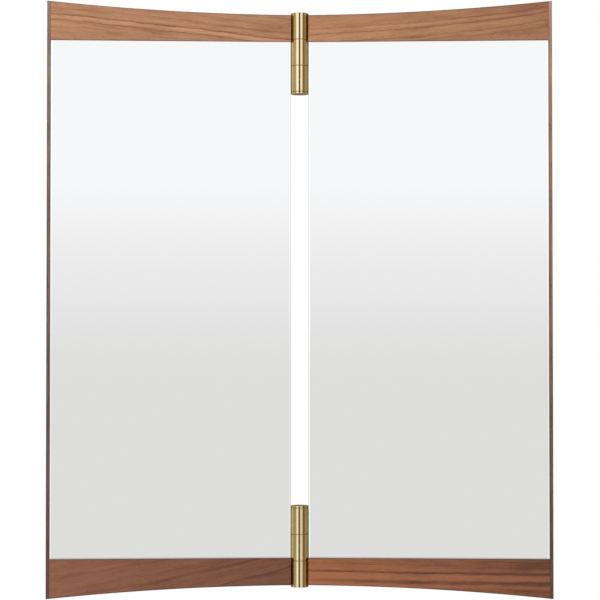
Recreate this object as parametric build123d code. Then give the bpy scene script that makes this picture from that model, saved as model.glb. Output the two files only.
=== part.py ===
"""Folding wall mirror: two walnut-railed mirror panels on a pair of brass barrel hinges that stand off the wall.

Millimetres. +X is to the right, +Y points at the wall, +Z is up. The origin is on the wall's face, at the middle of
the four wall screws. The pieces are worked out about the hinge axis, with the panels flat, and are then folded
forward to the rest angle and moved off the wall.
"""
from build123d import *
import os
from math import sqrt

# The panels
MIRROR_HEIGHT = 608.0      # glass that shows between the two rails
PANEL_WIDTH = 286.0        # from the edge beside the barrel to the outer side
PANEL_THICKNESS = 18.0
RAIL_HEIGHT = 31.5         # a rail where it is lowest, in the middle of the mirror
RAIL_RISE = 14.5           # how much the rail's hollow arc rises to the panel's outer side
STILE_WIDTH = 4.0          # walnut strip down the outer side
INNER_STILE_WIDTH = 30.0   # walnut strip behind the glass, beside the barrel
WOOD_ARRIS = 0.8           # small bevel on the walnut's outer edges
GLASS_THICKNESS = 5.0
GLASS_RECESS = 0.5         # glass behind the rails' front face
GLASS_GAP = 0.2            # between the glass and the wood round it
GLASS_ARRIS = 0.8          # polished bevel round the glass
TAPE_THICKNESS = 1.0
TAPE_WIDTH = 25.0
TAPE_COUNT = 4
TAPE_MARGIN = 25.0         # from the ends of the tape to the rails
BOARD_THICKNESS = 10.0
DOWEL_RADIUS = 3.0
DOWEL_LENGTH = 30.0
DOWEL_CLEARANCE = 0.03
RAIL_DOWELS = 4            # along each rail, into the board
STILE_DOWELS = 4           # from the inner stile into the board
BUMPER_RADIUS = 6.0
BUMPER_THICKNESS = 4.6
BUMPER_ROUNDING = 1.2
BUMPER_INSET = 15.0        # from the panel's outer side
BUMPER_ABOVE_GLASS = 20.0

# The barrel hinges
REST_ANGLE = 3.0           # each panel folded forward of flat
AXIS_TO_WALL = 30.0
BARREL_RADIUS = 10.4
BARREL_CLEARANCE = 0.4     # from the barrel to the panels' edges
BARREL_PROUD = 2.6         # barrel beyond the rail's edge
KNUCKLE_LENGTH = 30.2      # the two inner knuckles of a barrel
OUTER_KNUCKLE_LENGTH = 30.8   # the one at the barrel's end, which holds the cap
KNUCKLE_CHAMFER = 0.2
PIN_RADIUS = 4.0
PIN_CHAMFER = 0.5
PIN_END_GAP = 0.5          # between the pin and the outer cap
RUNNING_FIT = 0.05         # radial, between the pin and the knuckles that turn on it
SEAT_FIT = 0.02            # between brass and steel pieces that are fixed together
WASHER_THICKNESS = 0.6
WASHER_PLAY = 0.05         # on each face of a washer
WASHER_RIM = 0.2           # washer's edge inside the barrel's
OUTER_CAP_RADIUS = 8.0
OUTER_CAP_THICKNESS = 2.2
OUTER_CAP_INSET = 0.3      # below the barrel's end
INNER_CAP_LENGTH = 2.2
INNER_CAP_CHAMFER = 0.4
INNER_CAP_BORE = 1.4       # depth that the pin enters
LEAF_REACH = 38.0          # from the hinge axis
LEAF_HEIGHT = 22.0
LEAF_THICKNESS = 2.0
LEAF_CORNER = 4.0
LEAF_CLEARANCE = 0.1       # round the leaf in its pocket
HINGE_SCREW_LENGTH = 10.0
HINGE_SCREW_HEAD = 3.3     # radius
HINGE_SCREW_SHANK = 1.6    # radius
HINGE_SCREW_POINT = 3.0
HINGE_SCREW_INSET = 6.0    # from the leaf's end and from the panel's edge
HINGE_SCREW_SPREAD = 6.0   # above and below the leaf's middle
HINGE_SCREW_FIT = 0.03
SCREW_SLOT_LENGTH = 3.6
SCREW_SLOT_WIDTH = 0.9
SCREW_SLOT_DEPTH = 1.0

# The wall plates and stems
PLATE_WIDTH = 76.0
PLATE_HEIGHT = 36.0
PLATE_THICKNESS = 5.0
PLATE_CORNER = 6.0
PLATE_ARRIS = 0.8
BOSS_RADIUS = 9.0
BOSS_LENGTH = 10.0
WALL_SCREW_SPACING = 56.0
WALL_SCREW_RADIUS = 2.6
WALL_SCREW_HEAD = 5.0      # radius of the countersink at the plate's face
STEM_RADIUS = 5.0
STEM_SKIN = 1.5            # plate left behind the stem's bore
STEM_SPIGOT_RADIUS = 3.0
GRUB_RADIUS = 2.0
GRUB_SOCKET = 2.0          # hexagon across its flats
GRUB_SOCKET_DEPTH = 1.6

# Places across the panel, from the hinge axis outwards
panel_in = BARREL_RADIUS + BARREL_CLEARANCE
panel_out = panel_in + PANEL_WIDTH
stile_in = panel_out - STILE_WIDTH
board_in = panel_in + INNER_STILE_WIDTH

# Places through the panel, from the hinge axis towards the wall
panel_back = BARREL_RADIUS
panel_front = panel_back - PANEL_THICKNESS
leaf_front = panel_back - LEAF_THICKNESS
glass_front = panel_front + GLASS_RECESS
glass_back = glass_front + GLASS_THICKNESS
board_front = glass_back + TAPE_THICKNESS
board_back = board_front + BOARD_THICKNESS
board_middle = (board_front + board_back) / 2
plate_front = AXIS_TO_WALL - PLATE_THICKNESS
boss_front = plate_front - BOSS_LENGTH

# Heights from the mirror's middle
glass_end = MIRROR_HEIGHT / 2
rail_low = glass_end + RAIL_HEIGHT
rail_high = rail_low + RAIL_RISE
joint_gap = WASHER_THICKNESS + 2 * WASHER_PLAY
barrel_end = rail_low + BARREL_PROUD
outer_knuckle_in = barrel_end - OUTER_KNUCKLE_LENGTH
wall_knuckle_out = outer_knuckle_in - joint_gap
wall_knuckle_in = wall_knuckle_out - KNUCKLE_LENGTH
inner_knuckle_out = wall_knuckle_in - joint_gap
inner_knuckle_in = inner_knuckle_out - KNUCKLE_LENGTH
inner_cap_out = inner_knuckle_in - joint_gap
inner_cap_in = inner_cap_out - INNER_CAP_LENGTH
plate_middle = (wall_knuckle_out + wall_knuckle_in) / 2
cap_seat = barrel_end - OUTER_CAP_INSET - OUTER_CAP_THICKNESS
pin_out = cap_seat - PIN_END_GAP
pin_in = inner_cap_out - INNER_CAP_BORE

# The same piece or group turned upside down about the line of sight
TURNED = Rot(0, 180, 0)


def block(x0, x1, y0, y1, z0, z1):
    """Box between two corners."""
    return Pos((x0 + x1) / 2, (y0 + y1) / 2, (z0 + z1) / 2) * Box(x1 - x0, y1 - y0, z1 - z0)


def turned_about_z(profile):
    """Solid of revolution about the hinge axis, from a closed outline of (radius, height) points."""
    face = Plane.XZ * make_face(Polyline(*profile, close=True))
    return revolve(face, Axis.Z)


def rod_to_wall(radius, y0, y1):
    """Rod along Y at the height of the wall plate."""
    return Pos(0, (y0 + y1) / 2, plate_middle) * Rot(90, 0, 0) * Cylinder(radius, y1 - y0)


def panel_outline():
    """Whole panel as one board, with both long edges sawn to the arc that runs across the two panels."""
    arc_radius = (panel_out ** 2 + RAIL_RISE ** 2) / (2 * RAIL_RISE)

    def edge_height(x):
        return rail_low + arc_radius - sqrt(arc_radius ** 2 - x ** 2)

    middle = (panel_in + panel_out) / 2
    top_arc = [(x, edge_height(x)) for x in (panel_in, middle, panel_out)]
    bottom_arc = [(x, -edge_height(x)) for x in (panel_out, middle, panel_in)]
    outline = [
        ThreePointArc(*top_arc),
        Line(top_arc[-1], bottom_arc[0]),
        ThreePointArc(*bottom_arc),
        Line(bottom_arc[-1], top_arc[0]),
    ]
    return extrude(Plane.XZ.offset(-panel_back) * make_face(outline), PANEL_THICKNESS)


def top_rail():
    """Walnut rail above the glass, between the barrel and the outer stile."""
    rail = panel_outline() & block(panel_in, stile_in, panel_front, panel_back, glass_end, rail_high)
    rail = chamfer(rail.edges().filter_by(GeomType.CIRCLE), WOOD_ARRIS)
    return rail - leaf_pocket(outer_knuckle_in, barrel_end) - dowel_holes() - screws(SCREW_HOLE)


def bottom_rail():
    """The same rail below the glass. The knuckle beside it belongs to the other panel, so it has no pocket."""
    rail = panel_outline() & block(panel_in, stile_in, panel_front, panel_back, -rail_high, -glass_end)
    rail = chamfer(rail.edges().filter_by(GeomType.CIRCLE), WOOD_ARRIS)
    return rail - dowel_holes()


def outer_stile():
    """Walnut strip down the outer side, over the ends of the rails."""
    strip = panel_outline() & block(stile_in, panel_out, panel_front, panel_back, -rail_high, rail_high)
    outer_edges = strip.edges().filter_by(Axis.Z).group_by(Axis.X)[-1]
    return chamfer(outer_edges, WOOD_ARRIS)


def inner_stile():
    """Walnut strip behind the glass, beside the barrel. It takes the screws of the lower leaf."""
    strip = block(panel_in, board_in, glass_back, panel_back, -glass_end, glass_end)
    return strip - leaf_pocket(-inner_knuckle_out, -inner_knuckle_in) - dowel_holes() - screws(SCREW_HOLE)


def core_board():
    """Board that fills the frame behind the glass."""
    board = block(board_in, stile_in, board_front, board_back, -glass_end, glass_end)
    return board - dowel_holes()


def mirror_glass():
    """Silvered glass with a polished arris round its front."""
    end = glass_end - GLASS_GAP
    glass = block(panel_in, stile_in - GLASS_GAP, glass_front, glass_back, -end, end)
    return chamfer(glass.faces().sort_by(Axis.Y)[0].edges(), GLASS_ARRIS)


def mirror_tape():
    """Upright strips of tape between the board and the glass."""
    pitch = (stile_in - board_in) / TAPE_COUNT
    end = glass_end - TAPE_MARGIN
    strips = []
    for number in range(TAPE_COUNT):
        middle = board_in + (number + 0.5) * pitch
        strips.append(block(middle - TAPE_WIDTH / 2, middle + TAPE_WIDTH / 2, glass_back, board_front, -end, end))
    return strips


def dowels(radius=DOWEL_RADIUS, length=DOWEL_LENGTH):
    """Dowels that join the rails to the board and the inner stile, and the inner stile to the board."""
    upright = Cylinder(radius, length)
    level = Rot(0, 90, 0) * Cylinder(radius, length)
    pitch = (stile_in - board_in) / RAIL_DOWELS
    across = [(panel_in + board_in) / 2]
    across += [board_in + (number + 0.5) * pitch for number in range(RAIL_DOWELS)]
    placed = [Pos(x, board_middle, z) * upright for x in across for z in (-glass_end, glass_end)]
    rise = MIRROR_HEIGHT / (STILE_DOWELS + 1)
    for number in range(STILE_DOWELS):
        placed.append(Pos(board_in, board_middle, -glass_end + (number + 1) * rise) * level)
    return placed


def dowel_holes():
    """Holes for all the dowels, a hair wider and longer than they are."""
    return dowels(DOWEL_RADIUS + DOWEL_CLEARANCE, DOWEL_LENGTH + 2 * DOWEL_CLEARANCE)


def wall_bumpers():
    """Rubber bumpers on the back of the rails, at the panel's outer corners."""
    height = glass_end + BUMPER_ABOVE_GLASS
    bumpers = []
    for z in (-height, height):
        disc = Rot(90, 0, 0) * Cylinder(BUMPER_RADIUS, BUMPER_THICKNESS)
        disc = fillet(disc.edges().sort_by(Axis.Y)[-1], BUMPER_ROUNDING)
        bumpers.append(Pos(panel_out - BUMPER_INSET, panel_back + BUMPER_THICKNESS / 2, z) * disc)
    return bumpers


def leaf_plate(z0, z1, clearance):
    """Flat leaf at the panel's back, centred on its knuckle's length. Its two outer corners are rounded."""
    half = LEAF_HEIGHT / 2 + clearance
    middle = (z0 + z1) / 2
    plate = block(0, LEAF_REACH + clearance, leaf_front, panel_back, middle - half, middle + half)
    corners = plate.edges().filter_by(Axis.Y).group_by(Axis.X)[-1]
    return fillet(corners, LEAF_CORNER + clearance)


def leaf_pocket(z0, z1):
    """Pocket that a leaf is let into."""
    return leaf_plate(z0, z1, LEAF_CLEARANCE)


def knuckle_profile(z0, z1, bore):
    """Outline of a plain knuckle, chamfered where it meets its neighbours."""
    rim = BARREL_RADIUS - KNUCKLE_CHAMFER
    return [
        (bore, z0), (rim, z0), (BARREL_RADIUS, z0 + KNUCKLE_CHAMFER),
        (BARREL_RADIUS, z1 - KNUCKLE_CHAMFER), (rim, z1), (bore, z1),
    ]


def top_hinge_leaf():
    """Outer knuckle, counterbored for its cap, with its leaf."""
    knuckle = turned_about_z(knuckle_profile(outer_knuckle_in, barrel_end, 0))
    leaf = knuckle + leaf_plate(outer_knuckle_in, barrel_end, 0)
    bore = PIN_RADIUS + RUNNING_FIT
    seat = OUTER_CAP_RADIUS + SEAT_FIT
    leaf -= turned_about_z([(0, outer_knuckle_in), (bore, outer_knuckle_in), (bore, cap_seat),
                            (seat, cap_seat), (seat, barrel_end), (0, barrel_end)])
    return leaf - screws(SCREW_HOLE)


def bottom_hinge_leaf():
    """Inner knuckle of the hinge at the panel's other end, with its leaf."""
    z0 = -inner_knuckle_out
    z1 = -inner_knuckle_in
    bore = PIN_RADIUS + RUNNING_FIT
    leaf = turned_about_z(knuckle_profile(z0, z1, 0)) + leaf_plate(z0, z1, 0)
    leaf -= turned_about_z([(0, z0), (bore, z0), (bore, z1), (0, z1)])
    return leaf - screws(SCREW_HOLE)


def outer_cap():
    """Disc pressed into the end of the outer knuckle."""
    return turned_about_z([(0, cap_seat), (OUTER_CAP_RADIUS, cap_seat),
                           (OUTER_CAP_RADIUS, cap_seat + OUTER_CAP_THICKNESS), (0, cap_seat + OUTER_CAP_THICKNESS)])


def hinge_screw():
    """Countersunk wood screw that lies along Y with its head at the panel's back."""
    cone = HINGE_SCREW_HEAD - HINGE_SCREW_SHANK
    body = turned_about_z([
        (0, 0), (HINGE_SCREW_HEAD, 0), (HINGE_SCREW_SHANK, -cone),
        (HINGE_SCREW_SHANK, HINGE_SCREW_POINT - HINGE_SCREW_LENGTH), (0, -HINGE_SCREW_LENGTH),
    ])
    for angle in (0, 90):
        slot = Box(SCREW_SLOT_LENGTH, SCREW_SLOT_WIDTH, 2 * SCREW_SLOT_DEPTH)
        body -= Rot(0, 0, angle) * slot
    return body


def hinge_screw_hole():
    """Countersunk pilot hole that the same screw fills."""
    head = HINGE_SCREW_HEAD + HINGE_SCREW_FIT
    shank = HINGE_SCREW_SHANK + HINGE_SCREW_FIT
    end = -HINGE_SCREW_LENGTH - HINGE_SCREW_FIT
    return turned_about_z([
        (0, HINGE_SCREW_FIT), (head, HINGE_SCREW_FIT), (head, 0), (shank, shank - head),
        (shank, HINGE_SCREW_POINT + end), (HINGE_SCREW_FIT, end), (0, end),
    ])


def screws(one):
    """Four screws, or four holes, in each of the panel's two leaves."""
    leaf_middles = ((outer_knuckle_in + barrel_end) / 2, -(inner_knuckle_out + inner_knuckle_in) / 2)
    placed = []
    for middle in leaf_middles:
        for x in (panel_in + HINGE_SCREW_INSET, LEAF_REACH - HINGE_SCREW_INSET):
            for z in (middle - HINGE_SCREW_SPREAD, middle + HINGE_SCREW_SPREAD):
                placed.append(Pos(x, panel_back, z) * Rot(-90, 0, 0) * one)
    return placed


def wall_knuckle():
    """Middle knuckle, fixed to the pin and drilled at the back for the stem's spigot."""
    knuckle = turned_about_z(knuckle_profile(wall_knuckle_in, wall_knuckle_out, PIN_RADIUS + SEAT_FIT))
    return knuckle - rod_to_wall(STEM_SPIGOT_RADIUS + SEAT_FIT, 0, BARREL_RADIUS)


def hinge_pin():
    """Steel pin through the three knuckles, with its inner end in the cap."""
    tip = PIN_RADIUS - PIN_CHAMFER
    return turned_about_z([
        (0, pin_in), (tip, pin_in), (PIN_RADIUS, pin_in + PIN_CHAMFER),
        (PIN_RADIUS, pin_out - PIN_CHAMFER), (tip, pin_out), (0, pin_out),
    ])


def friction_washers():
    """Washers on both faces of the wall knuckle and above the inner cap."""
    bore = PIN_RADIUS + RUNNING_FIT
    rim = BARREL_RADIUS - WASHER_RIM
    washers = []
    for face in (wall_knuckle_out, inner_knuckle_out, inner_cap_out):
        z0 = face + WASHER_PLAY
        z1 = z0 + WASHER_THICKNESS
        washers.append(turned_about_z([(bore, z0), (rim, z0), (rim, z1), (bore, z1)]))
    return washers


def inner_cap():
    """End cap screwed onto the pin, chamfered at its free end."""
    bore = PIN_RADIUS + SEAT_FIT
    floor = pin_in - SEAT_FIT
    rim = BARREL_RADIUS - KNUCKLE_CHAMFER
    return turned_about_z([
        (0, inner_cap_in), (BARREL_RADIUS - INNER_CAP_CHAMFER, inner_cap_in),
        (BARREL_RADIUS, inner_cap_in + INNER_CAP_CHAMFER), (BARREL_RADIUS, inner_cap_out - KNUCKLE_CHAMFER),
        (rim, inner_cap_out), (bore, inner_cap_out), (bore, floor), (0, floor),
    ])


def wall_stem():
    """Brass rod from the wall knuckle to the plate. Its front is coped to the barrel round a threaded spigot."""
    end = AXIS_TO_WALL - STEM_SKIN
    barrel = Pos(0, 0, plate_middle) * Cylinder(BARREL_RADIUS + SEAT_FIT, KNUCKLE_LENGTH)
    rod = rod_to_wall(STEM_RADIUS, 0, end) - barrel
    return rod + rod_to_wall(STEM_SPIGOT_RADIUS, PIN_RADIUS + SEAT_FIT, BARREL_RADIUS + STEM_RADIUS)


def grub_axis():
    """Place of the grub screw: half way along the boss, on the side that faces the mirror's middle."""
    return Pos(0, boss_front + BOSS_LENGTH / 2, plate_middle)


def wall_plate():
    """Steel plate with a boss for the stem and two countersunk screw holes."""
    outline = RectangleRounded(PLATE_WIDTH, PLATE_HEIGHT, PLATE_CORNER)
    plate = extrude(Plane.XZ.offset(-AXIS_TO_WALL) * outline, PLATE_THICKNESS)
    plate = chamfer(plate.faces().sort_by(Axis.Y)[0].edges(), PLATE_ARRIS)
    plate = Pos(0, 0, plate_middle) * plate
    boss = rod_to_wall(BOSS_RADIUS, boss_front, plate_front + PLATE_THICKNESS / 2)
    boss = chamfer(boss.edges().sort_by(Axis.Y)[0], PLATE_ARRIS)
    plate += boss
    plate -= rod_to_wall(STEM_RADIUS + SEAT_FIT, boss_front, AXIS_TO_WALL - STEM_SKIN)
    hole = Cylinder(WALL_SCREW_RADIUS, 2 * PLATE_THICKNESS)
    sink_depth = WALL_SCREW_HEAD - WALL_SCREW_RADIUS
    sink = Pos(0, 0, -sink_depth / 2) * Cone(WALL_SCREW_RADIUS, WALL_SCREW_HEAD, sink_depth)
    for x in (-WALL_SCREW_SPACING / 2, WALL_SCREW_SPACING / 2):
        plate -= Pos(x, plate_front, plate_middle) * Rot(90, 0, 0) * (hole + sink)
    grub_hole = Pos(0, 0, -BOSS_RADIUS / 2) * Cylinder(GRUB_RADIUS + SEAT_FIT, BOSS_RADIUS)
    return plate - grub_axis() * grub_hole


def grub_screw():
    """Grub screw with a hexagon socket, flush with the boss and bearing on the stem."""
    inner = -STEM_RADIUS - SEAT_FIT
    outer = -BOSS_RADIUS + PLATE_ARRIS
    body = Pos(0, 0, (inner + outer) / 2) * Cylinder(GRUB_RADIUS, inner - outer)
    socket = extrude(RegularPolygon(GRUB_SOCKET / 2, 6, major_radius=False), GRUB_SOCKET_DEPTH)
    return grub_axis() * (body - Pos(0, 0, outer) * socket)


def panel():
    """Every piece of the right-hand panel, flat, under its name on that panel."""
    return {
        "top_rail": top_rail(),
        "bottom_rail": bottom_rail(),
        "outer_stile": outer_stile(),
        "inner_stile": inner_stile(),
        "core_board": core_board(),
        "mirror_glass": mirror_glass(),
        "mirror_tape": mirror_tape(),
        "dowels": dowels(),
        "wall_bumpers": wall_bumpers(),
        "top_hinge_leaf": top_hinge_leaf(),
        "bottom_hinge_leaf": bottom_hinge_leaf(),
        "hinge_screws": screws(SCREW),
        "outer_cap": outer_cap(),
    }


def wall_mount():
    """Every fixed piece of the top hinge, with what carries it on the wall."""
    return {
        "wall_plate": wall_plate(),
        "wall_stem": wall_stem(),
        "grub_screw": grub_screw(),
        "wall_knuckle": wall_knuckle(),
        "hinge_pin": hinge_pin(),
        "friction_washers": friction_washers(),
        "inner_cap": inner_cap(),
    }


def write_node(name, place, pieces):
    """One file for one node, with its solids at their place on the hung mirror."""
    if not isinstance(pieces, list):
        pieces = [pieces]
    solids = [solid for piece in pieces for solid in (place * piece).solids()]
    node = solids[0] if len(solids) == 1 else Compound(children=solids)
    export_step(node, f"parts/{name}.step")


SCREW = hinge_screw()
SCREW_HOLE = hinge_screw_hole()

os.makedirs("parts", exist_ok=True)
off_the_wall = Pos(0, -AXIS_TO_WALL, 0)

# The two panels are one design. The left one is the right one turned upside down, so its top pieces come out below.
other_end = {"top": "bottom", "bottom": "top"}
for name, pieces in panel().items():
    end, _, rest = name.partition("_")
    turned_name = f"{other_end[end]}_{rest}" if end in other_end else name
    write_node(f"right_{name}", off_the_wall * Rot(0, 0, -REST_ANGLE), pieces)
    write_node(f"left_{turned_name}", off_the_wall * Rot(0, 0, REST_ANGLE) * TURNED, pieces)

# The bottom hinge's fixed pieces are the top one's, turned the same way.
for name, pieces in wall_mount().items():
    write_node(f"top_{name}", off_the_wall, pieces)
    write_node(f"bottom_{name}", off_the_wall * TURNED, pieces)
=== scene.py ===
"""Looks of the folding wall mirror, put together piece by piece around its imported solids.

Metres, in the frame's own axes: +X right, +Y towards the wall, +Z up. Shapes are worked out in millimetres on the
flat right-hand panel, about the hinge axis, and are then hung in their place.
"""

import math

import bmesh
import bpy
import numpy as np
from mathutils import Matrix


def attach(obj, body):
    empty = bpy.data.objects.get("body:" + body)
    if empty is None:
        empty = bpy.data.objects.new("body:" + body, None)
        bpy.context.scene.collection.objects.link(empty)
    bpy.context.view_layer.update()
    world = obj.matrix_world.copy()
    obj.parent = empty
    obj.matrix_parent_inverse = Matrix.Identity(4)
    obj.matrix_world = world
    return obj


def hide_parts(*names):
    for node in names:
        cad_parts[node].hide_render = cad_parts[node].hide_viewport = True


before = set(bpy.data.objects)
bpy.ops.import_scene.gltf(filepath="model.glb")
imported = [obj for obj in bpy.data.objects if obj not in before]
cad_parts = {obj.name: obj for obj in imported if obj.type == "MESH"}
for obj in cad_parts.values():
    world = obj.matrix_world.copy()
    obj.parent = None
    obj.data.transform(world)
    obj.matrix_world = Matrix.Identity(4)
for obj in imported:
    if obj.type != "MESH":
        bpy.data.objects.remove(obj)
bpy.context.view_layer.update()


# Core boards. 10 mm board behind each glass, faced with walnut veneer in matt lacquer, and doweled to the rails and
# the inner stile. Only its back shows, in veneer whose figure arches up it.
MM = 0.001
SIDES = (("left", -1), ("right", 1))
ENDS = (("top", 1), ("bottom", -1))
WELD = 1e-6
ROUND_ANGLE = math.radians(28)

# Noise in walnut: cycles to the millimetre along and across the grain, detail and roughness
LONG_SWAY = (0.016, 0.05, 3.0, 0.5)
SHORT_SWAY = (0.07, 0.11, 2.0, 0.5)
SHORT_SWAY_SIZE = 2.4
FIBRES = (0.025, 1.0, 4.0, 0.6)
FIBRE_SHARE = 0.9
STREAKS = {(0.03, 0.12, 2.0, 0.5): 0.45, (0.02, 0.38, 3.0, 0.55): 0.8, (0.012, 0.03, 1.0, 0.5): 0.5}
PORE_CELLS = (0.11, 0.85, 0.85)
PORE_SHARE = 0.35


def linear(code):
    """Linear colour of an sRGB hex code. A channel c becomes ((c + 0.055) / 1.055) to the power 2.4."""
    channels = [int(code[i:i + 2], 16) / 255 for i in (1, 3, 5)]
    return tuple(c / 12.92 if c <= 0.04045 else ((c + 0.055) / 1.055) ** 2.4 for c in channels) + (1.0,)


def add(tree, kind, inputs=None, stops=None, **settings):
    """Adds one node. An input is a value or the socket that feeds it, and stops are a ramp's (place, colour)."""
    node = tree.nodes.new(kind)
    for key, value in settings.items():
        setattr(node, key, value)
    for key, value in (inputs or {}).items():
        if isinstance(value, bpy.types.NodeSocket):
            tree.links.new(value, node.inputs[key])
        else:
            node.inputs[key].default_value = value
    if stops:
        ramp = node.color_ramp
        while len(ramp.elements) < len(stops):
            ramp.elements.new(1.0)
        for element, (place, colour) in zip(ramp.elements, stops):
            element.position = place
            element.color = colour if isinstance(colour, tuple) else (colour, colour, colour, 1.0)
    return node


def new_material(name):
    """An empty material, its node tree and the place on the object."""
    material = bpy.data.materials.new(name)
    material.use_nodes = True
    tree = material.node_tree
    tree.nodes.clear()
    return material, tree, add(tree, "ShaderNodeTexCoord").outputs["Object"]


def finish_material(tree, inputs):
    """The surface's shader, and its way to the output."""
    shader = add(tree, "ShaderNodeBsdfPrincipled", inputs)
    add(tree, "ShaderNodeOutputMaterial", {"Surface": shader.outputs["BSDF"]})


def blend(tree, factor, first, second, **settings):
    """Colour between two others."""
    inputs = {0: factor, 6: first, 7: second}
    return add(tree, "ShaderNodeMix", inputs, data_type="RGBA", **settings).outputs[2]


def walnut(name, light, dark, centre, grain, figure, lean=0.4, bow=0.0, sway=2.5, drift=0.0, roughness=0.46):
    """Oiled walnut. Growth lines are level lines of w = z + lean * y + bow * x^2 + sway, in millimetres along (x)
    and across (z) the grain, figure gives how dark the wood is at each w, and drift darkens it along the grain.
    Fibres and streaks are noise drawn out along the grain, and pores are cells drawn out to short dark flecks.
    Pores are 0.2 mm wide on the real wood, and are drawn at twice that."""
    material, tree, place = new_material(name)
    along = add(tree, "ShaderNodeMapping", {
        "Vector": place, "Location": tuple(c * MM for c in centre),
        "Rotation": tuple(math.radians(a) for a in grain), "Scale": (MM, MM, MM),
    }, vector_type="TEXTURE").outputs[0]
    axes = add(tree, "ShaderNodeSeparateXYZ", {0: along}).outputs

    def noise(with_grain, across_grain, detail, rough):
        scale = (with_grain, across_grain, across_grain)
        stretched = add(tree, "ShaderNodeVectorMath", {0: along, 1: scale}, operation="MULTIPLY").outputs[0]
        found = add(tree, "ShaderNodeTexNoise", {
            "Vector": stretched, "Scale": 1.0, "Detail": detail, "Roughness": rough,
        })
        return add(tree, "ShaderNodeMath", {0: found.outputs["Fac"], 1: 0.5}, operation="SUBTRACT").outputs[0]

    def plus(base, extra, share):
        return add(tree, "ShaderNodeMath", {0: extra, 1: share, 2: base}, operation="MULTIPLY_ADD").outputs[0]

    across = plus(axes["Z"], axes["Y"], lean)
    squared = add(tree, "ShaderNodeMath", {0: axes["X"], 1: axes["X"]}, operation="MULTIPLY").outputs[0]
    across = plus(across, squared, bow)
    across = plus(across, noise(*LONG_SWAY), 2 * sway)
    across = plus(across, noise(*SHORT_SWAY), SHORT_SWAY_SIZE)
    low, high = figure[0][0], figure[-1][0]
    level = add(tree, "ShaderNodeMapRange", {0: across, 1: low, 2: high}).outputs[0]
    growth = add(tree, "ShaderNodeValToRGB", {0: level}, stops=[((w - low) / (high - low), d) for w, d in figure])
    fibres = noise(*FIBRES)
    shade = plus(growth.outputs["Color"], axes["X"], drift)
    shade = plus(shade, fibres, FIBRE_SHARE)
    for streak, share in STREAKS.items():
        shade = plus(shade, noise(*streak), share)
    cells = add(tree, "ShaderNodeVectorMath", {0: along, 1: PORE_CELLS}, operation="MULTIPLY").outputs[0]
    cell = add(tree, "ShaderNodeTexVoronoi", {"Vector": cells, "Scale": 1.0}).outputs["Distance"]
    pores = add(tree, "ShaderNodeMapRange", {0: cell, 1: 0.30, 2: 0.12}).outputs[0]
    shade = plus(shade, pores, PORE_SHARE)
    relief = plus(fibres, pores, -0.8)
    bump = add(tree, "ShaderNodeBump", {"Height": relief, "Strength": 0.35, "Distance": 0.12 * MM}).outputs[0]
    finish_material(tree, {
        "Base Color": blend(tree, shade, linear(light), linear(dark)), "Roughness": plus(roughness, pores, 0.2),
        "Normal": bump,
    })
    return material


def dress(made, body, slot, *nodes):
    """Says what a piece rides on and the solids that it stands for. Its finish in the record, slot, is not used."""
    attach(made, body)
    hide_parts(*nodes)
    return made


def shade_round(mesh):
    """Smooth over round faces and sharp at edges."""
    mesh.shade_smooth()
    mesh.set_sharp_from_angle(angle=ROUND_ANGLE)


def fitted_copy(name, node, body, slot, material):
    """A merged copy of a solid, shaded smooth over its round faces, in its finish."""
    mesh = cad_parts[node].data.copy()
    mesh.name = name
    mesh.materials.clear()
    mesh.materials.append(material)
    form = bmesh.new()
    form.from_mesh(mesh)
    bmesh.ops.remove_doubles(form, verts=form.verts, dist=WELD)
    form.to_mesh(mesh)
    form.free()
    if mesh.attributes.get("custom_normal"):
        mesh.attributes.remove(mesh.attributes["custom_normal"])
    shade_round(mesh)
    made = bpy.data.objects.new(name, mesh)
    bpy.context.scene.collection.objects.link(made)
    return dress(made, body, slot, node)


for side, sign in SIDES:
    veneer = walnut(
        f"walnut_veneer_{side}", "#8F6A52", "#4A3126", centre=(sign * 150, -24, 0), grain=(0, 90, 0), bow=0.0011,
        figure=[(-140, .4), (-110, .55), (-90, .35), (-62, .5), (-50, .3), (-30, .6), (-20, .35), (-6, .45),
                (4, .6), (14, .3), (30, .55), (44, .4), (60, .6), (85, .35), (110, .5), (140, .4)],
        sway=10.0, roughness=0.6)
    fitted_copy(f"veneered_{side}_core_board", f"{side}_core_board", f"{side}_panel", "core_board", veneer)


# Inner stiles. Solid walnut strips behind the glass, beside the barrels, planed and oiled. They are doweled to the
# boards and take the screws of the hinge leaves.
for side, sign in SIDES:
    stile_walnut = walnut(
        f"oiled_walnut_{side}_inner_stile", "#A98166", "#5B3D2F", centre=(sign * 26, -24, 0), grain=(0, 90, 0),
        figure=[(-20, .5), (-9, .35), (-6, .6), (-2, .3), (1.6, .55), (5, .3), (9, .6), (20, .4)], bow=0.00004)
    fitted_copy(f"walnut_{side}_inner_stile", f"{side}_inner_stile", f"{side}_panel", "walnut", stile_walnut)


# Dowels. Beech rod, 6 mm thick and 30 mm long, glued half into the boards and half into the rails and inner stiles.
# None shows once the panel is together.
def mottled(name, light, dark, scale, detail, inputs, painted_glow=0.0):
    """A finish whose colour comes and goes between two tones, scale times to the metre. It may have a painted glow,
    an emission in its own tone.
    """
    material, tree, place = new_material(name)
    mottle = add(tree, "ShaderNodeTexNoise", {"Vector": place, "Scale": scale, "Detail": detail}).outputs["Fac"]
    tone = blend(tree, mottle, linear(light), linear(dark))
    if painted_glow:
        inputs = {**inputs, "Emission Color": tone, "Emission Strength": painted_glow}
    finish_material(tree, {**inputs, "Base Color": tone})
    return material


beech = mottled("bare_beech", "#D9B48A", "#B98C5E", 900.0, 2.0, {"Roughness": 0.6})
for side, _ in SIDES:
    fitted_copy(f"beech_{side}_dowels", f"{side}_dowels", f"{side}_panel", "beech", beech)


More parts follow.
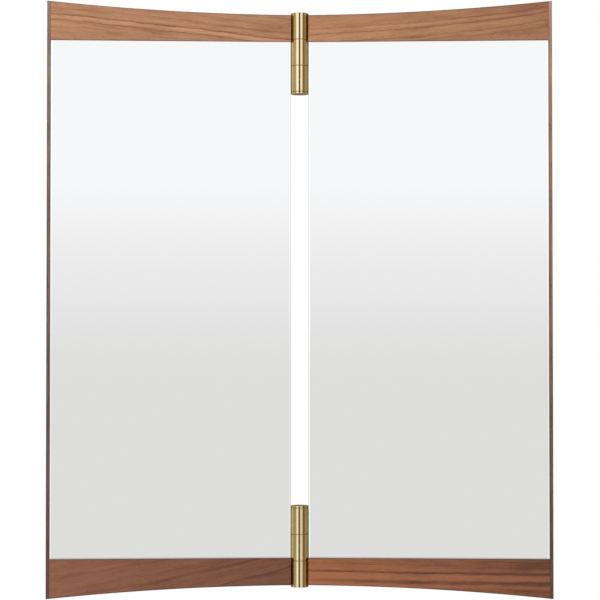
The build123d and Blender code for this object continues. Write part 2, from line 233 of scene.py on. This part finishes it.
# Rails. Each is solid American walnut, planed flat, with its outer edge sawn and sanded to the long hollow arc that
# runs across both panels, its arrises eased, and oiled. Dowels join it to the board behind the glass. A rail beside
# an outer knuckle has a pocket for the leaf in its back.
AXIS_TO_WALL = 30.0
REST_ANGLE = 3.0
PANEL_IN = 10.8
PANEL_OUT = 296.8
STILE_IN = 292.8
PANEL_FRONT = -7.6
PANEL_BACK = 10.4
GLASS_END = 304.0
RAIL_IN = 10.72   # a hair nearer to the barrel than the solid's end, so that no light shows between them
RAIL_LOW = 335.5
RAIL_RISE = 14.5
RAIL_STATIONS = 49
ARC_RADIUS = (PANEL_OUT ** 2 + RAIL_RISE ** 2) / (2 * RAIL_RISE)
WOOD_ARRIS = 0.8
FINE_ARRIS = 0.2   # of the full arris, at the glass and the outer end; the end at the barrel is left sharp
ARRIS_ANGLE = math.radians(46)
LEAF_REACH = 38.0
LEAF_HEIGHT = 22.0
LEAF_FRONT = 8.4
LEAF_CORNER = 4.0
LEAF_CLEARANCE = 0.1
CORNER_POINTS = 9
OUTER_KNUCKLE = (307.3, 338.1)
ARRIS_DARK = "#3A221A"
# The bottom rails' tones are darker than the top rails': partly their own boards and partly painted shade, for the
# weaker light low down.
RAILS = {
    "left_top": dict(
        light="#BB8966", dark="#7A4A31", centre=(-151.4, -45.5, 321.6), grain=(0, 5.9, 3), bow=0.00006,
        drift=0.0003,
        figure=[(-40, .46), (-16, .40), (-12, .30), (-9, .46), (-7.2, .42), (-6.3, .92), (-5.3, .36), (-3.6, .12),
                (-1.3, .12), (-.2, .98), (.8, .48), (3, .28), (6, .46), (8, .60), (9.4, .34), (14, .52), (18, .38),
                (40, .46)],
    ),
    "right_top": dict(
        light="#B2805C", dark="#75472D", centre=(151.4, -45.5, 320.6), grain=(0, -5.0, -3), bow=-0.00022,
        drift=0.0013,
        figure=[(-40, .40), (-22, .36), (-16, .52), (-12.4, .30), (-11, .34), (-10, .80), (-9, .40), (-5, .26),
                (-1.2, .30), (0, .92), (1.1, .42), (3.6, .26), (5.2, .34), (6.3, .82), (7.4, .44), (11, .56),
                (16, .44), (22, .56), (40, .52)],
    ),
    "left_bottom": dict(
        light="#9F684B", dark="#663927", centre=(-151.4, -45.5, -326.7), grain=(0, -11.3, 3), bow=-0.0003,
        sway=4.0, drift=0.0023,
        figure=[(-40, .44), (-26, .38), (-22, .46), (-20, .86), (-18.4, .18), (-15, .34), (-8, .48), (-3, .36),
                (0, .74), (1.8, .40), (8, .54), (14, .38), (21, .46), (24, .62), (26, .38), (34, .50), (50, .40)],
    ),
    "right_bottom": dict(
        light="#B16E48", dark="#61341E", centre=(151.4, -45.5, -320.5), grain=(0, 0.7, -3), bow=-0.00002,
        sway=1.2, drift=0.0021,
        figure=[(-40, .44), (-18, .46), (-16, .14), (-13.8, .20), (-12, .74), (-9.6, .70), (-7.6, .14), (-4, .12),
                (-1.2, .34), (-.2, 1.15), (1.2, .62), (3, .30), (5.4, .46), (7.2, .40), (8.2, .76), (9.2, .38),
                (10.6, .74), (11.8, .36), (13, .70), (15, .44), (40, .50)],
    ),
}


def hung(points, side):
    """Takes points of the flat right-hand panel to the hung mirror. The left panel is the same one turned half
    round about the line of sight. Each is folded forward about the hinge axis by the rest angle."""
    flat = np.asarray(points, float).reshape(-1, 3)
    fold = math.radians(-REST_ANGLE)
    if side == "left":
        flat = flat * (-1, 1, -1)
        fold = -fold
    x = flat[:, 0] * math.cos(fold) - flat[:, 1] * math.sin(fold)
    y = flat[:, 0] * math.sin(fold) + flat[:, 1] * math.cos(fold) - AXIS_TO_WALL
    return np.stack([x, y, flat[:, 2]], axis=1) * MM


def arc_height(x):
    """Height of the outer edge's arc: low + R - sqrt(R^2 - x^2)."""
    return RAIL_LOW + ARC_RADIUS - np.sqrt(ARC_RADIUS ** 2 - np.square(x))


def quads(rows, columns, rows_close=False):
    """Faces of a grid of closed rows: each point with the next along the row and the next down the column."""
    r, c = np.meshgrid(np.arange(rows - (not rows_close)), np.arange(columns), indexing="ij")
    down, right = (r + 1) % rows, (c + 1) % columns
    corners = (r * columns + c, down * columns + c, down * columns + right, r * columns + right)
    return np.stack(corners, axis=-1).reshape(-1, 4).tolist()


def new_object(name, points, faces, *materials):
    """A mesh object of these points and faces, with doubled points merged and its faces turned outwards."""
    mesh = bpy.data.meshes.new(name)
    mesh.from_pydata(np.asarray(points).tolist(), [], faces)
    for material in materials:
        mesh.materials.append(material)
    form = bmesh.new()
    form.from_mesh(mesh)
    bmesh.ops.remove_doubles(form, verts=form.verts, dist=WELD)
    bmesh.ops.recalc_face_normals(form, faces=form.faces)
    form.to_mesh(mesh)
    form.free()
    made = bpy.data.objects.new(name, mesh)
    bpy.context.scene.collection.objects.link(made)
    return made


def settle(made):
    """Makes an object's modifiers part of its mesh."""
    depsgraph = bpy.context.evaluated_depsgraph_get()
    mesh = bpy.data.meshes.new_from_object(
        made.evaluated_get(depsgraph), preserve_all_data_layers=True, depsgraph=depsgraph)
    made.modifiers.clear()
    made.data = mesh


def ease(made, weights, slot=0):
    """Rounds the arrises of a piece. Each edge has a share of the full arris, found from its two points."""
    ends = np.empty(2 * len(made.data.edges), int)
    made.data.edges.foreach_get("vertices", ends)
    share = made.data.attributes.new("bevel_weight_edge", "FLOAT", "EDGE")
    share.data.foreach_set("value", weights(*ends.reshape(-1, 2).T))
    bevel = made.modifiers.new("arris", "BEVEL")
    bevel.width = WOOD_ARRIS * MM
    bevel.segments = 3
    bevel.limit_method = "WEIGHT"
    bevel.material = slot
    settle(made)


def combine(made, tool, operation):
    """Cuts or joins a piece with a tool, which is then thrown away."""
    boolean = made.modifiers.new("tool", "BOOLEAN")
    boolean.operation = operation
    boolean.solver = "EXACT"
    boolean.object = tool
    settle(made)
    bpy.data.objects.remove(tool)


def flatten_shading(made):
    """Smooth shading that keeps broad faces flat: normals are weighed by the area of the faces round them."""
    made.data.shade_smooth()
    made.data.set_sharp_from_angle(angle=ARRIS_ANGLE)
    weigh = made.modifiers.new("flat faces", "WEIGHTED_NORMAL")
    weigh.keep_sharp = True
    weigh.weight = 100
    settle(made)


def leaf_blank(name, knuckle, side, root, grow):
    """Plate with two rounded outer corners: a quarter circle is carried round each. Grow is added all round, and
    four times as much at the back, where a pocket is open."""
    middle = sum(knuckle) / 2
    half = LEAF_HEIGHT / 2 + grow
    radius = LEAF_CORNER + grow
    corner_x = LEAF_REACH + grow - radius
    turn = np.linspace(0, math.pi / 2, CORNER_POINTS)
    upper = np.stack([corner_x + radius * np.sin(turn), middle + half - radius + radius * np.cos(turn)], axis=1)
    lower = upper[::-1] * (1, -1) + (0, 2 * middle)
    outline = np.concatenate([[(root, middle + half)], upper, lower, [(root, middle - half)]])
    count = len(outline)
    rings = [np.insert(outline, 1, y, axis=1) for y in (LEAF_FRONT, PANEL_BACK + grow * 4)]
    faces = quads(2, count) + [list(range(count)), list(range(count, 2 * count))]
    return new_object(name, hung(np.concatenate(rings), side), faces)


def rail(name, side, end, pocket, *materials):
    """Four-sided bar, in stations along x. Its outer edge follows the arc, and its inner edge is straight."""
    x = np.linspace(RAIL_IN, STILE_IN, RAIL_STATIONS)
    outer_edge = arc_height(x)
    corners = ((PANEL_FRONT, GLASS_END), (PANEL_FRONT, outer_edge), (PANEL_BACK, outer_edge),
               (PANEL_BACK, GLASS_END))
    rings = [np.stack([x, np.full_like(x, y), np.broadcast_to(z, x.shape) * end], axis=1) for y, z in corners]
    points = np.stack(rings, axis=1).reshape(-1, 3)
    last = 4 * (RAIL_STATIONS - 1)
    faces = quads(RAIL_STATIONS, 4) + [[0, 1, 2, 3], [last, last + 1, last + 2, last + 3]]

    def shares(start, finish):
        along = start // 4 != finish // 4
        outer = (start % 4 == 1) | (start % 4 == 2)
        at_end = start >= last
        return np.where(along, np.where(outer, 1.0, FINE_ARRIS), np.where(at_end, FINE_ARRIS, 0.0))

    made = new_object(name, hung(points, side), faces, *materials)
    ease(made, shares, slot=1)
    if pocket:
        combine(made, leaf_blank("pocket", OUTER_KNUCKLE, side, 0.0, LEAF_CLEARANCE), "DIFFERENCE")
    flatten_shading(made)
    return made


for place, finish in RAILS.items():
    side, height = place.split("_")
    walnut_face = walnut(f"oiled_walnut_{place}_rail", **finish)
    arris_finish = dict(finish, light=finish["dark"], dark=ARRIS_DARK)
    walnut_arris = walnut(f"oiled_walnut_{place}_rail_arris", **arris_finish)
    own_end = 1 if (side == "right") == (height == "top") else -1
    made = rail(f"walnut_{place}_rail", side, own_end, own_end == 1, walnut_face, walnut_arris)
    dress(made, f"{side}_panel", "walnut", f"{place}_rail")


# Outer stiles. A 4 mm strip of oiled walnut, glued over the ends of the rails and the side of the board, with its
# outer arrises eased. It hides the glass's edge.
# Drift darkens each stile towards its bottom end: painted shade, standing in for light that falls off downwards.
STILES = {
    "left": dict(light="#9E8072", dark="#5A4238", centre=(-294, -53, 0), grain=(0, 90, 3), drift=0.0008,
                 figure=[(-8, .8), (-3, .65), (-1, .9), (0, .6), (1.6, .85), (8, .7)]),
    "right": dict(light="#A98369", dark="#5B3D2F", centre=(294, -53, 0), grain=(0, 90, -3), drift=0.0012,
                  figure=[(-8, .67), (-3, .52), (-1, .77), (0, .47), (1.6, .72), (8, .57)]),
}
for side, finish in STILES.items():
    strip_walnut = walnut(f"oiled_walnut_{side}_stile", sway=1.2, **finish)
    corners = [(x, y, sign * arc_height(x)) for x in (STILE_IN, PANEL_OUT) for sign in (-1, 1)
               for y in (PANEL_FRONT, PANEL_BACK)]
    faces = [[0, 1, 3, 2], [4, 6, 7, 5], [0, 4, 5, 1], [2, 3, 7, 6], [0, 2, 6, 4], [1, 5, 7, 3]]
    made = new_object(f"walnut_{side}_outer_stile", hung(corners, side), faces, strip_walnut)
    ease(made, lambda start, finish: np.where((start > 3) & (abs(finish - start) == 2), 1.0, FINE_ARRIS))
    flatten_shading(made)
    dress(made, f"{side}_panel", "walnut", f"{side}_outer_stile")


# Mounting tape. 1 mm strips of grey-white foam tape, pressed on the board, that hold the glass.
foam = mottled("foam_tape", "#E4E3DC", "#C9C8C0", 1500.0, 1.0, {"Roughness": 0.8})
for side, _ in SIDES:
    fitted_copy(f"foam_{side}_mirror_tape", f"{side}_mirror_tape", f"{side}_panel", "mounting_tape", foam)


# Mirror glass. 5 mm float glass, silvered behind, with a shallow polished bevel round its face and a ground arris
# outside that. It lies on the tape, with its face just behind the rails'. The silver is drawn on the face itself.
GLASS_FRONT = -7.1
GLASS_BACK = -2.1
GLASS_GAP = 0.2
BEVEL_WIDTH = 1.3
BEVEL_DEPTH = 0.22
EDGE_ARRIS = 0.3
GLASS_IOR = 1.52
# Strength of the painted glow on each glass's polished edge: an emission with no lamp behind it.
EDGE_PAINTED_GLOW = {"left": 0.5, "right": 0.22}


def mirror_metal():
    """Silvered face. Wiped glass has hardly any haze: a faint cloud of it comes and goes over some 150 mm."""
    material, tree, place = new_material("silvered_float_glass")
    haze = add(tree, "ShaderNodeTexNoise", {"Vector": place, "Scale": 7.0, "Detail": 3.0}).outputs["Fac"]
    rough = add(tree, "ShaderNodeMapRange", {0: haze, 1: 0.3, 2: 0.8, 3: 0.0, 4: 0.02}).outputs[0]
    finish_material(tree, {"Base Color": linear("#FAFBFA"), "Metallic": 1.0, "Roughness": rough})
    return material


def mirror_glass(side, *materials):
    """Four closed loops of four corners, each further in and further forward: back, edge, arris and bevel."""
    loops = ((0, GLASS_BACK), (0, GLASS_FRONT + BEVEL_DEPTH + EDGE_ARRIS), (EDGE_ARRIS, GLASS_FRONT + BEVEL_DEPTH),
             (EDGE_ARRIS + BEVEL_WIDTH, GLASS_FRONT))
    rings = []
    for inset, y in loops:
        x0, x1, z1 = PANEL_IN + inset, STILE_IN - GLASS_GAP - inset, GLASS_END - GLASS_GAP - inset
        rings.append([(x0, y, -z1), (x1, y, -z1), (x1, y, z1), (x0, y, z1)])
    faces = quads(4, 4) + [[0, 1, 2, 3], [12, 13, 14, 15]]
    made = new_object(f"silvered_{side}_mirror_glass", hung(rings, side), faces, *materials)
    finishes = [1] * 4 + [2] * 4 + [0] * 4 + [1, 0]
    made.data.polygons.foreach_set("material_index", finishes)
    return made


# The arris is a thin matt grey line. The polished edge has a painted glow: it emits light of its own, standing in for
# light that comes in by the face, more on the left.
silvered = mirror_metal()
# The arris's grey is partly its own ground finish and partly painted shadow: it is darkened to draw the thin shadow
# line where the glass meets the rails and the barrels.
arris_of_glass_and_painted_shadow = mottled("ground_glass_arris_and_painted_shadow", "#717976", "#636B68", 900.0, 2.0,
                         {"Roughness": 0.5, "IOR": GLASS_IOR})
for side, painted_glow in EDGE_PAINTED_GLOW.items():
    edge_of_glass_painted_glow = mottled(f"float_glass_{side}_edge_painted_glow", "#D6D2C0", "#C6C3B2", 60.0, 1.0,
                            {"Roughness": 0.12, "IOR": GLASS_IOR}, painted_glow)
    made = mirror_glass(side, silvered, edge_of_glass_painted_glow, arris_of_glass_and_painted_shadow)
    dress(made, f"{side}_panel", "silvered_glass", f"{side}_mirror_glass")


# Wall bumpers. Black rubber buttons, moulded with a rounded rim, and stuck to the back of the rails at the outer
# corners. Dust gives the rubber a faint grey cloud.
rubber = mottled("black_rubber", "#1B1B1B", "#2C2B2A", 260.0, 4.0, {"Roughness": 0.75})
for side, _ in SIDES:
    fitted_copy(f"rubber_{side}_wall_bumpers", f"{side}_wall_bumpers", f"{side}_panel", "rubber", rubber)


# Hinge leaves. Each is a turned brass knuckle brazed to a flat leaf, polished and lacquered. The leaf is let into the
# panel's back. The outer knuckle has a seat for its cap.
BARREL_RADIUS = 10.4
KNUCKLE_CHAMFER = 0.2
RUNNING_BORE = 4.05
CAP_SEAT = (8.02, 335.6)
INNER_KNUCKLE = (-275.7, -245.5)
LEAF_ROOT = 1.0
TURNS = 96


def brass(name, base, roughness):
    """Lacquered brass, polished on the lathe. Fine turning marks run round the barrel: rings 0.25 mm apart, too
    fine to show singly, that only blur the gloss. A faint warm tarnish comes and goes over some 12 mm."""
    material, tree, place = new_material(name)
    rings = add(tree, "ShaderNodeVectorMath", {0: place, 1: (60.0, 60.0, 4000.0)}, operation="MULTIPLY").outputs[0]
    turned = add(tree, "ShaderNodeTexNoise", {"Vector": rings, "Scale": 1.0, "Detail": 2.0}).outputs["Fac"]
    gloss = add(tree, "ShaderNodeMapRange", {0: turned, 1: 0.3, 2: 0.7, 3: roughness, 4: roughness * 1.5})
    tarnish = add(tree, "ShaderNodeTexNoise", {"Vector": place, "Scale": 80.0, "Detail": 3.0}).outputs["Fac"]
    finish_material(tree, {
        "Base Color": blend(tree, tarnish, linear(base[0]), linear(base[1])), "Metallic": 1.0,
        "Roughness": gloss.outputs[0], "Coat Weight": 0.6, "Coat Roughness": 0.08,
    })
    return material


def lathe(name, profile, material):
    """Surface of revolution about the hinge axis: each (radius, height) of a closed profile is carried round it.
    Points on the axis are merged to one."""
    turn = np.linspace(0, 2 * math.pi, TURNS, endpoint=False)
    radius, height = np.array(profile, float).T
    points = np.stack([
        np.outer(radius, np.cos(turn)), np.outer(radius, np.sin(turn)) - AXIS_TO_WALL,
        np.repeat(height[:, None], TURNS, axis=1),
    ], axis=-1).reshape(-1, 3) * MM
    return new_object(name, points, quads(len(profile), TURNS, rows_close=True), material)


def knuckle_profile(low, high, bore):
    """Outline of a knuckle, chamfered where it meets its neighbours."""
    rim = BARREL_RADIUS - KNUCKLE_CHAMFER
    return [(bore, low), (rim, low), (BARREL_RADIUS, low + KNUCKLE_CHAMFER),
            (BARREL_RADIUS, high - KNUCKLE_CHAMFER), (rim, high), (bore, high)]


def at_end(profile, sign):
    """The same profile, or with sign -1 the profile the other way up."""
    return [(radius, sign * height) for radius, height in profile]


polished_brass = brass("polished_lacquered_brass", ("#EBDCB8", "#E0CFA4"), 0.10)
seat_radius, seat = CAP_SEAT
outer_profile = knuckle_profile(*OUTER_KNUCKLE, RUNNING_BORE)[:-1] + [
    (seat_radius, OUTER_KNUCKLE[1]), (seat_radius, seat), (RUNNING_BORE, seat)]
inner_profile = knuckle_profile(*INNER_KNUCKLE, RUNNING_BORE)
for side, sign in SIDES:
    outer_end, inner_end = ("top", "bottom") if side == "right" else ("bottom", "top")
    leaves = ((outer_end, OUTER_KNUCKLE, outer_profile), (inner_end, INNER_KNUCKLE, inner_profile))
    for end, knuckle, profile in leaves:
        made = lathe(f"brass_{side}_{end}_hinge_leaf", at_end(profile, sign), polished_brass)
        combine(made, leaf_blank("leaf", knuckle, side, LEAF_ROOT, 0.0), "UNION")
        shade_round(made.data)
        dress(made, f"{side}_panel", "polished_brass", f"{side}_{end}_hinge_leaf")


# Hinge screws. Machined brass countersunk wood screws with a crossed slot, four to a leaf, driven flush into the
# inner stiles and rails.
machined_brass = brass("machined_brass", ("#DCC288", "#CEB074"), 0.22)
for side, _ in SIDES:
    fitted_copy(f"brass_{side}_hinge_screws", f"{side}_hinge_screws", f"{side}_panel", "brass_screws",
                machined_brass)


# Outer caps. Turned brass discs, pressed into the seats of the outer knuckles, a hair below their ends.
OUTER_CAP_RADIUS = 8.0
OUTER_CAP_TOP = 337.8
OUTER_CAP_CHAMFER = 0.3
outer_cap = [(0, seat), (OUTER_CAP_RADIUS, seat), (OUTER_CAP_RADIUS, OUTER_CAP_TOP - OUTER_CAP_CHAMFER),
             (OUTER_CAP_RADIUS - OUTER_CAP_CHAMFER, OUTER_CAP_TOP), (0, OUTER_CAP_TOP)]
for side, sign in SIDES:
    made = lathe(f"brass_{side}_outer_cap", at_end(outer_cap, sign), polished_brass)
    shade_round(made.data)
    dress(made, f"{side}_panel", "polished_brass", f"{side}_outer_cap")


# Wall plates, grub screws and hinge pins. Pressed and turned steel, zinc-plated and satin. The plates are screwed to
# the wall, each with a boss for its stem, which the grub screw locks.
def zinc():
    """Zinc plate over steel: satin, with the faint cloudy spangle of a plated surface, some millimetres across."""
    material, tree, place = new_material("zinc_plated_steel")
    spangle = add(tree, "ShaderNodeTexVoronoi", {"Vector": place, "Scale": 420.0}).outputs["Color"]
    fine = add(tree, "ShaderNodeTexNoise", {"Vector": place, "Scale": 900.0, "Detail": 2.0}).outputs["Fac"]
    gloss = add(tree, "ShaderNodeMapRange", {0: fine, 1: 0.3, 2: 0.7, 3: 0.3, 4: 0.42}).outputs[0]
    finish_material(tree, {"Base Color": blend(tree, spangle, linear("#C9CACB"), linear("#B4B6B8")),
                           "Metallic": 1.0, "Roughness": gloss})
    return material


zinc_plate = zinc()
for end, _ in ENDS:
    for part in ("wall_plate", "grub_screw", "hinge_pin"):
        fitted_copy(f"zinc_{end}_{part}", f"{end}_{part}", "wall_mount", "zinc_plated_steel", zinc_plate)


# Wall stems. Polished brass rod, coped to the wall knuckle, and locked in the plate's boss by the grub screw. They
# carry the barrels off the wall.
for end, _ in ENDS:
    fitted_copy(f"brass_{end}_wall_stem", f"{end}_wall_stem", "wall_mount", "polished_brass", polished_brass)


# Wall knuckles. The middle knuckle of each barrel, turned brass, polished and lacquered. It is fixed on the hinge pin
# and on the stem, and does not turn.
WALL_KNUCKLE = (276.4, 306.6)
SEAT_BORE = 4.02
for end, sign in ENDS:
    profile = knuckle_profile(*WALL_KNUCKLE, SEAT_BORE)
    made = lathe(f"brass_{end}_wall_knuckle", at_end(profile, sign), polished_brass)
    shade_round(made.data)
    dress(made, "wall_mount", "polished_brass", f"{end}_wall_knuckle")


# Friction washers. Thin rings of turned phosphor bronze on the pin, between the knuckles. Only their rims show, as
# the fine lines across the barrel.
bronze = mottled("turned_bronze", "#B98F5E", "#A27848", 700.0, 2.0, {"Metallic": 1.0, "Roughness": 0.3})
for end, _ in ENDS:
    fitted_copy(f"bronze_{end}_friction_washers", f"{end}_friction_washers", "wall_mount", "bronze", bronze)


# Inner caps. Turned brass, screwed onto the pin at the barrel's end towards the middle, with a chamfered rim.
INNER_CAP = (242.6, 244.8)
INNER_CAP_CHAMFER = 0.4
INNER_CAP_BORE = 1.4
low, high = INNER_CAP
inner_cap = [(0, low), (BARREL_RADIUS - INNER_CAP_CHAMFER, low), (BARREL_RADIUS, low + INNER_CAP_CHAMFER),
             (BARREL_RADIUS, high - KNUCKLE_CHAMFER), (BARREL_RADIUS - KNUCKLE_CHAMFER, high), (SEAT_BORE, high),
             (SEAT_BORE, high - INNER_CAP_BORE), (0, high - INNER_CAP_BORE)]
for end, sign in ENDS:
    made = lathe(f"brass_{end}_inner_cap", at_end(inner_cap, sign), polished_brass)
    shade_round(made.data)
    dress(made, "wall_mount", "polished_brass", f"{end}_inner_cap")


# Floor. Plain pale floor, well below the hung mirror, which fades to the white of the background so that it has no
# edge. It stands round the part and is none of its pieces.
FLOOR_HEIGHT = -1.15
FLOOR_RADIUS = 4.6
FLOOR_FADE = (1.2, 3.6)
FLOOR_POINTS = 64
WHITE = (1.0, 1.0, 1.0, 1.0)
floor_paint, tree, place = new_material("pale_floor")
away = add(tree, "ShaderNodeVectorMath", {0: place, 1: (1.0, 1.0, 0.0)}, operation="MULTIPLY").outputs[0]
reach = add(tree, "ShaderNodeVectorMath", {0: away}, operation="LENGTH").outputs["Value"]
fade = add(tree, "ShaderNodeMapRange", {0: reach, 1: FLOOR_FADE[0], 2: FLOOR_FADE[1]},
           interpolation_type="SMOOTHSTEP").outputs[0]
paint = add(tree, "ShaderNodeBsdfDiffuse", {"Color": linear("#F2F2F0")}).outputs[0]
white = add(tree, "ShaderNodeEmission", {"Color": WHITE, "Strength": 1.0}).outputs[0]
mixed = add(tree, "ShaderNodeMixShader", {0: fade, 1: paint, 2: white}).outputs[0]
add(tree, "ShaderNodeOutputMaterial", {"Surface": mixed})
turn = np.linspace(0, 2 * math.pi, FLOOR_POINTS, endpoint=False)
rim = np.stack([
    np.cos(turn) * FLOOR_RADIUS, np.sin(turn) * FLOOR_RADIUS, np.full_like(turn, FLOOR_HEIGHT)], axis=1)
floor = new_object("floor", rim, [list(range(FLOOR_POINTS))], floor_paint)


# Flags. A brown card strip stands close in front of each barrel and is seen only in its gloss, as the dark line
# between the barrel's two bright ones. Spans are its two sides, in millimetres from the middle.
FLAG_SPAN = {"top": (-1.61, 1.05), "bottom": (-2.1, 0.6)}
FLAG_HEIGHTS = (236, 343)
FLAG_Y = -43.9
card, tree, _ = new_material("brown_card")
finish_material(tree, {"Base Color": linear("#6B543A"), "Roughness": 1.0})
for end, sign in ENDS:
    (x0, x1), (low, high) = FLAG_SPAN[end], FLAG_HEIGHTS
    corners = [(x, FLAG_Y, sign * z) for x, z in ((x0, low), (x1, low), (x1, high), (x0, high))]
    flag = new_object(f"flag_{end}", np.array(corners) * MM, [[0, 1, 2, 3]], card)
    for ray in ("camera", "diffuse", "shadow", "transmission", "volume_scatter"):
        setattr(flag, f"visible_{ray}", False)


# Studio. The room is white to the camera. Gloss sees pale walls, brightest a little to each side of the camera, with
# brown ones at the sides, fading downwards to pale. Diffuse light is even, with one large soft lamp above.
ROOM = [(-180, "#635A52"), (-130, "#5E4A33"), (-104, "#8E7350"), (-90, "#B4A07A"), (-72, "#988C65"),
        (-56, "#92845B"), (-44, "#C5C5B6"), (-31, "#FDFDFD"), (-15, "#CED0D2"), (-9, "#CECECE"), (9, "#CECECE"),
        (15, "#DBDBDA"), (24, "#E0DFDC"), (37, "#B9A98F"), (50, "#594420"), (66, "#735D33"), (82, "#A8956C"),
        (100, "#5E4223"), (130, "#3C2A15"), (180, "#635A52")]
ROOM_PEAK = 1.68
ROOM_LIGHT = 0.3
FADE = [(0.0, "#DEDEDC"), (0.092, "#DEDEDD"), (0.168, "#DFDFDE"), (0.244, "#E1E0E0"), (0.353, "#E4E3E4"),
        (0.462, "#E8E7E8"), (0.605, "#EBEAEB"), (0.723, "#EFEEEF"), (0.84, "#F3F2F3"), (1.0, "#F6F7FA")]
FADE_SPAN = (math.radians(-1.57), math.radians(4.64))
FOOT = "#CECECE"
FOOT_SPAN = (math.radians(-12.5), math.radians(-10.5))
LAMP_SIZE = (1.4, 0.9)
LAMP_POWER = 22.0
LAMP_PLACE = (0.1, -1.25, 1.15)
LAMP_AIM = (0.0, 0.0, 0.1)
world = bpy.data.worlds.new("studio")
bpy.context.scene.world = world
world.use_nodes = True
tree = world.node_tree
tree.nodes.clear()
facing = add(tree, "ShaderNodeSeparateXYZ", {0: add(tree, "ShaderNodeTexCoord").outputs["Generated"]}).outputs
back = add(tree, "ShaderNodeMath", {0: facing["Y"], 1: -1.0}, operation="MULTIPLY").outputs[0]
azimuth = add(tree, "ShaderNodeMath", {0: facing["X"], 1: back}, operation="ARCTAN2").outputs[0]
around = add(tree, "ShaderNodeMapRange", {0: azimuth, 1: -math.pi, 2: math.pi}).outputs[0]
room_stops = [((angle + 180) / 360, linear(code)) for angle, code in ROOM]
walls = add(tree, "ShaderNodeValToRGB", {0: around}, stops=room_stops).outputs["Color"]
up = add(tree, "ShaderNodeMath", {0: facing["Z"]}, operation="ARCSINE").outputs[0]
foot = add(tree, "ShaderNodeMapRange", {0: up, 1: FOOT_SPAN[0], 2: FOOT_SPAN[1]}).outputs[0]
walls = blend(tree, foot, linear(FOOT), walls)
level = add(tree, "ShaderNodeMapRange", {0: up, 1: FADE_SPAN[0], 2: FADE_SPAN[1]}).outputs[0]
fade_stops = [(place, linear(code)) for place, code in FADE]
height = add(tree, "ShaderNodeValToRGB", {0: level}, stops=fade_stops).outputs["Color"]
gloss = blend(tree, 1.0, walls, height, blend_type="MULTIPLY")
paths = add(tree, "ShaderNodeLightPath").outputs
see_gloss = add(tree, "ShaderNodeBackground", {"Color": gloss, "Strength": ROOM_PEAK}).outputs[0]
see_light = add(tree, "ShaderNodeBackground", {"Color": WHITE, "Strength": ROOM_LIGHT}).outputs[0]
see_white = add(tree, "ShaderNodeBackground", {"Color": WHITE, "Strength": 1.0}).outputs[0]
mixed = add(tree, "ShaderNodeMixShader", {0: paths["Is Glossy Ray"], 1: see_light, 2: see_gloss}).outputs[0]
mixed = add(tree, "ShaderNodeMixShader", {0: paths["Is Transmission Ray"], 1: mixed, 2: see_white}).outputs[0]
mixed = add(tree, "ShaderNodeMixShader", {0: paths["Is Camera Ray"], 1: mixed, 2: see_white}).outputs[0]
add(tree, "ShaderNodeOutputWorld", {"Surface": mixed})

lamp = bpy.data.lights.new("soft_box", "AREA")
lamp.shape = "RECTANGLE"
lamp.size, lamp.size_y = LAMP_SIZE
lamp.energy = LAMP_POWER
soft_box = bpy.data.objects.new("soft_box", lamp)
bpy.context.scene.collection.objects.link(soft_box)
soft_box.location = LAMP_PLACE
aim = np.subtract(LAMP_AIM, LAMP_PLACE)
tilt = math.acos(-aim[2] / np.linalg.norm(aim))
soft_box.rotation_euler = (tilt, 0.0, math.atan2(aim[1], aim[0]) - math.pi / 2)
soft_box.visible_glossy = False


# Camera, 2.4 m away and a little below the middle, looking slightly up. The lens is long enough for the outline to
# fill the picture as it does in the photograph.
camera = bpy.data.objects.new("camera", bpy.data.cameras.new("camera"))
bpy.context.scene.collection.objects.link(camera)
camera.data.lens = 120.507
camera.data.sensor_width = 36.0
camera.location = (-0.00641, -2.40012, -0.0546)
camera.rotation_euler = (math.radians(90 + 1.3023), 0.0, math.radians(-0.1656))
bpy.context.scene.camera = camera
bpy.context.scene.view_settings.view_transform = "Standard"
